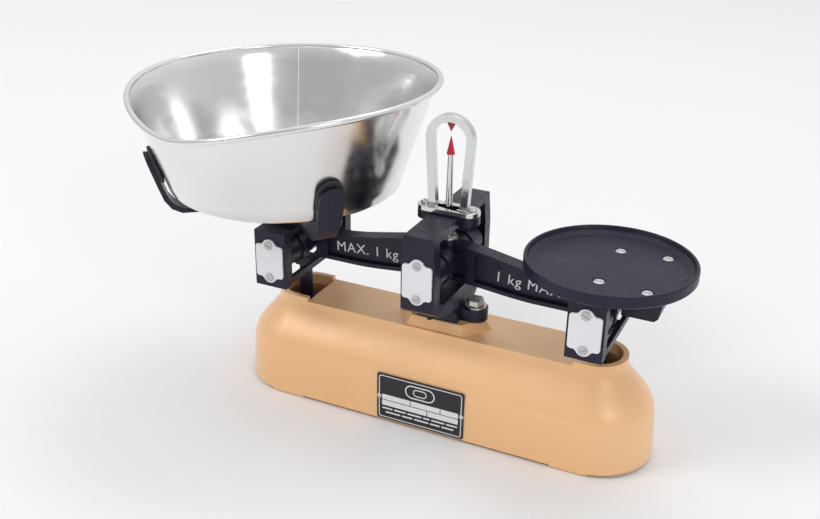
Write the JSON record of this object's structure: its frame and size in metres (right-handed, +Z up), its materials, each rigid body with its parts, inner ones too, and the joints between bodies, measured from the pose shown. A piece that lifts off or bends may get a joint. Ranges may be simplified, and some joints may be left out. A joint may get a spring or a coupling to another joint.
{
  "type": "counter balance scale",
  "caption": "Equal-arm counter balance: a beam on knife-edges carries a lift-off pouring scoop and a round weight plate above a long rounded base.",
  "frame": {"origin": "on the floor plane, under the middle of the centre knife-edge, half-way between the front and rear faces of the base", "axes": "+X along the beam towards the weight plate, +Y from the name plate towards the rear, +Z up"},
  "size_m": [0.4666, 0.2486, 0.2667],
  "materials": {
    "base_paint": "pearl copper-gold satin enamel over a casting",
    "black_enamel": "semi-gloss blue-black enamel over slightly rough castings",
    "plate_iron": "turned and enamelled blue-black",
    "zinc_steel": "bright zinc plate",
    "hard_steel": "hardened and ground",
    "cover_aluminium": "off-white satin",
    "chrome_plate": "polished plate",
    "bright_red": "gloss crimson",
    "dull_red": "dull red",
    "plate_black": "black printed plate with white lines",
    "pad_rubber": "matt dark grey",
    "lead": "dull cast metal",
    "stainless": "polished spun stainless steel"
  },
  "bodies": {
    "base": {"base_shell": "base_paint", "stand": "black_enamel", "stand_washers": "zinc_steel", "stand_bolts": "zinc_steel", "stand_nuts": "zinc_steel", "centre_bearings": "hard_steel", "centre_covers": "cover_aluminium", "centre_cover_screws": "zinc_steel", "indicator_guard": "chrome_plate", "guard_screws": "zinc_steel", "fixed_index": "dull_red", "name_plate": "plate_black", "name_plate_rivets": "cover_aluminium", "stay_bracket": "black_enamel", "stay_pivot_pin": "hard_steel"},
    "beam_body": {"beam": "black_enamel", "centre_knife": "hard_steel", "left_knife": "hard_steel", "right_knife": "hard_steel", "knife_lock_screws": "zinc_steel", "pointer_nut": "zinc_steel", "pointer": "chrome_plate", "pointer_tip": "bright_red"},
    "left_load": {"left_carrier": "black_enamel", "left_ties": "black_enamel", "left_stem": "black_enamel", "left_bearings": "hard_steel", "left_covers": "cover_aluminium", "left_cover_screws": "zinc_steel", "cradle": "black_enamel", "cradle_screws": "zinc_steel", "cradle_pads": "pad_rubber"},
    "right_load": {"right_carrier": "black_enamel", "right_ties": "black_enamel", "right_stem": "black_enamel", "right_bearings": "hard_steel", "right_covers": "cover_aluminium", "right_cover_screws": "zinc_steel", "weight_plate": "plate_iron", "weight_plate_screws": "zinc_steel", "shot_box": "black_enamel", "shot_plug": "zinc_steel", "adjusting_lead": "lead"},
    "stay_body": {"stay": "black_enamel", "stay_end_pins": "hard_steel"},
    "scoop_body": {"scoop": "stainless"}
  },
  "joints": [
    {"name": "beam_tilt", "type": "hinge", "parent": "base", "child": "beam_body", "pos_m": [0, 0, 0.1335], "axis": [0, 1, 0], "range_deg": [-4, 4]},
    {"name": "left_carrier_swing", "type": "hinge", "parent": "beam_body", "child": "left_load", "pos_m": [-0.13, 0, 0.1335], "axis": [0, 1, 0], "range_deg": [-4, 4]},
    {"name": "right_carrier_swing", "type": "hinge", "parent": "beam_body", "child": "right_load", "pos_m": [0.13, 0, 0.1335], "axis": [0, 1, 0], "range_deg": [-4, 4]},
    {"name": "stay_tilt", "type": "hinge", "parent": "base", "child": "stay_body", "pos_m": [0, 0, 0.046], "axis": [0, 1, 0], "range_deg": [-4, 4]},
    {"name": "scoop_lift", "type": "slide", "parent": "left_load", "child": "scoop_body", "axis": [0, 0, 1], "range_m": [0, 0.12]}
  ],
  "couplings": [
    {"joint": "left_carrier_swing", "follows": "beam_tilt", "ratio": -1},
    {"joint": "right_carrier_swing", "follows": "beam_tilt", "ratio": -1},
    {"joint": "stay_tilt", "follows": "beam_tilt", "ratio": 1}
  ]
}
